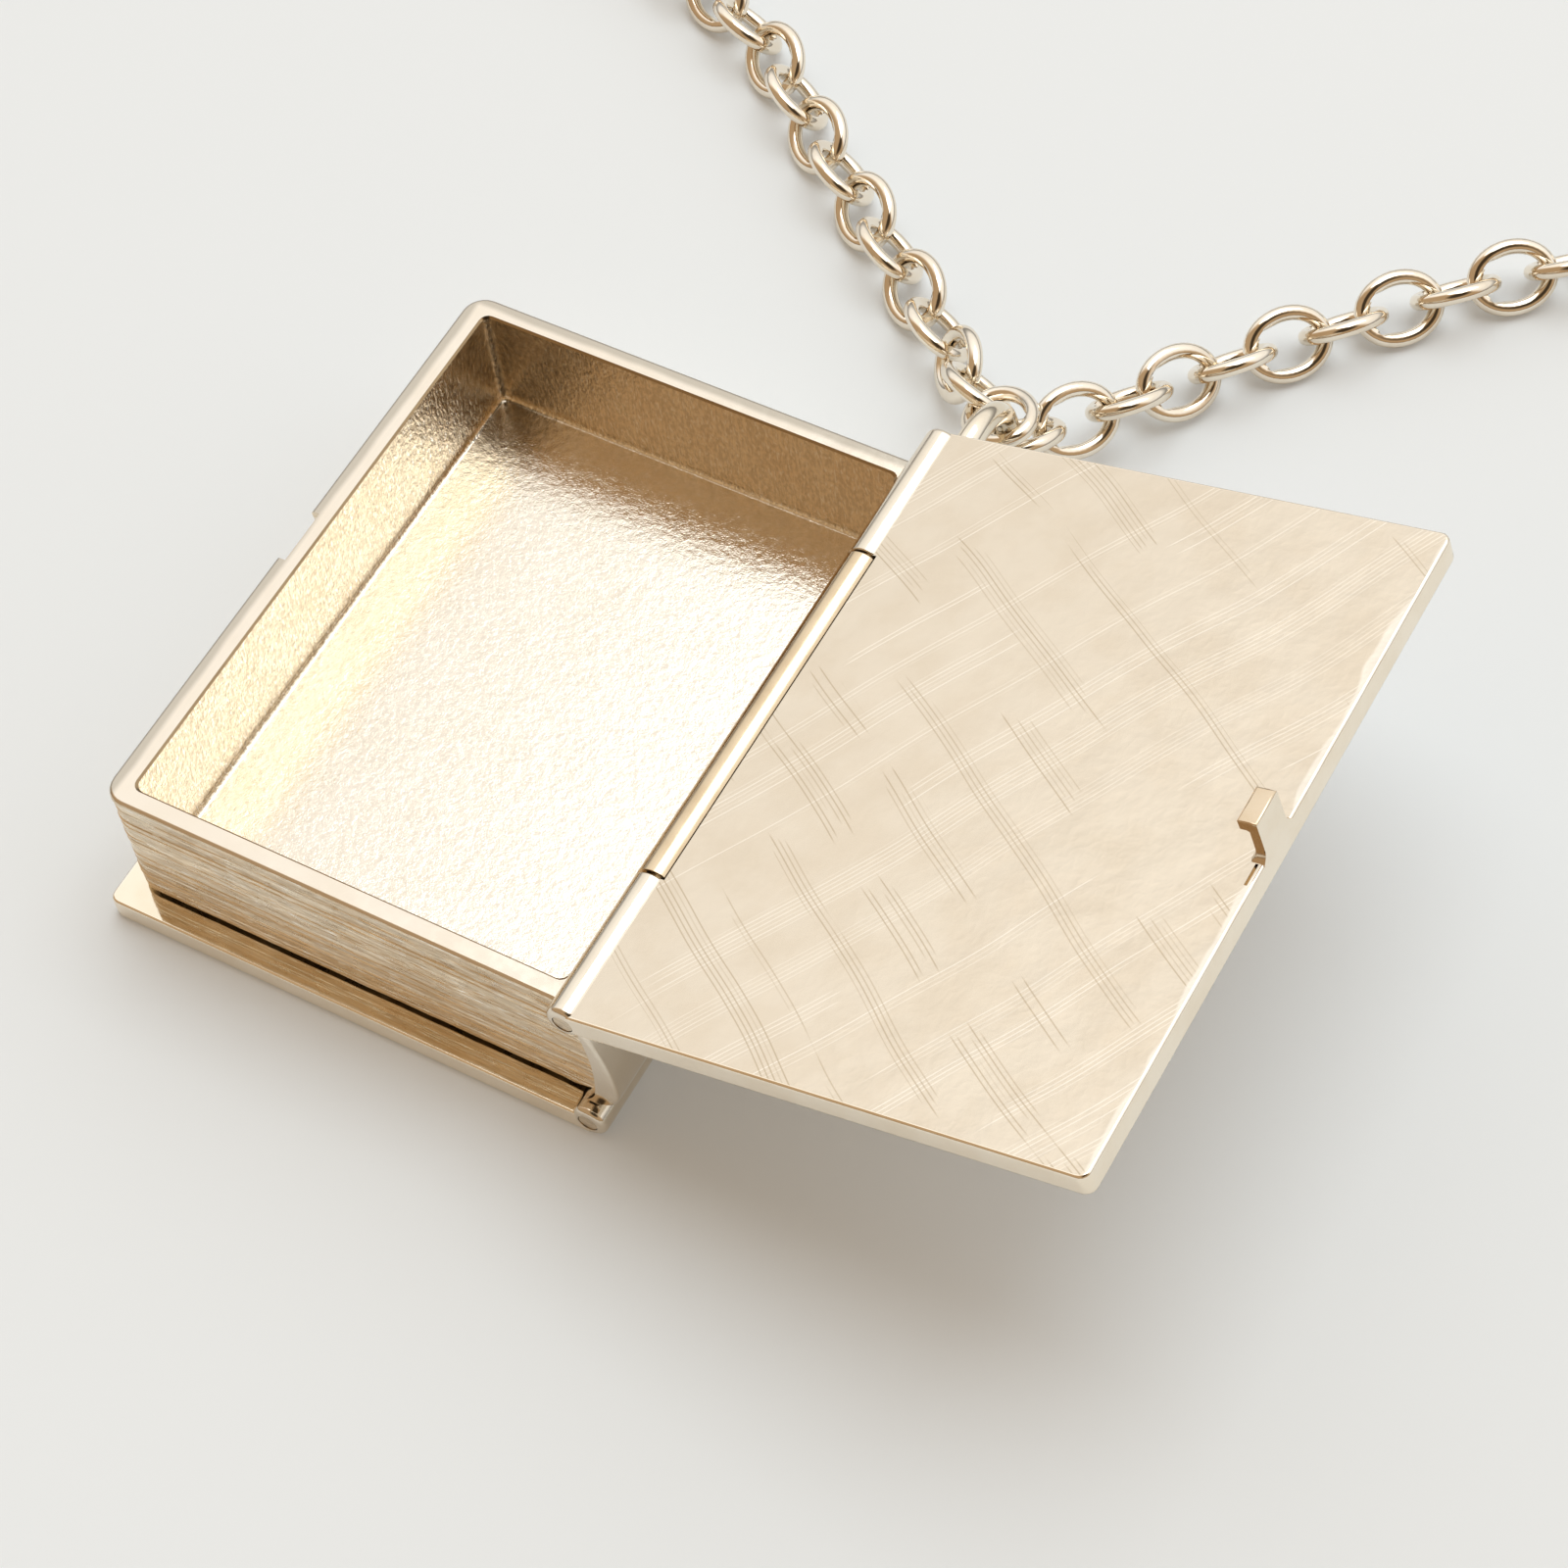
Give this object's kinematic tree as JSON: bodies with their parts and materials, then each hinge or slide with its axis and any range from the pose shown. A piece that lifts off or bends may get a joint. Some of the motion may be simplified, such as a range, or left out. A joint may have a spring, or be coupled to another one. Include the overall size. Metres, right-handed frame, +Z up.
{
  "type": "book locket on a chain",
  "caption": "Metal book-shaped locket with two hinged covers, a hollow page case, a hook latch and a bail ring on a cable-link necklace chain.",
  "frame": {"origin": "middle of the underside of the back cover, on the table that it lies on", "axes": "+Y towards the head of the book, where the bail ring and the chain are; +X towards the spine; +Z up, through the page case"},
  "size_m": [0.1876, 0.2493, 0.0217],
  "materials": {
    "case_metal": "polished pale gold plate with fine page lines",
    "cover_metal": "polished champagne gold plate with fine scratched hatching",
    "pin_metal": "satin gold",
    "chain_metal": "polished pale gold plate"
  },
  "bodies": {
    "case": {"page_case": "case_metal", "upper_pin": "pin_metal", "lower_pin": "pin_metal", "chain_left": "chain_metal", "chain_right": "chain_metal", "clasp": "chain_metal"},
    "front": {"front_cover": "cover_metal"},
    "back": {"back_cover": "cover_metal"}
  },
  "joints": [
    {"name": "front_cover_hinge", "type": "hinge", "parent": "case", "child": "front", "pos_m": [0.0149, 0, 0.01105], "axis": [0, -1, 0], "range_deg": [0, 165.5]},
    {"name": "back_cover_hinge", "type": "hinge", "parent": "case", "child": "back", "pos_m": [0.0149, 0, 0.00105], "axis": [0, -1, 0], "range_deg": [0, 165]}
  ]
}
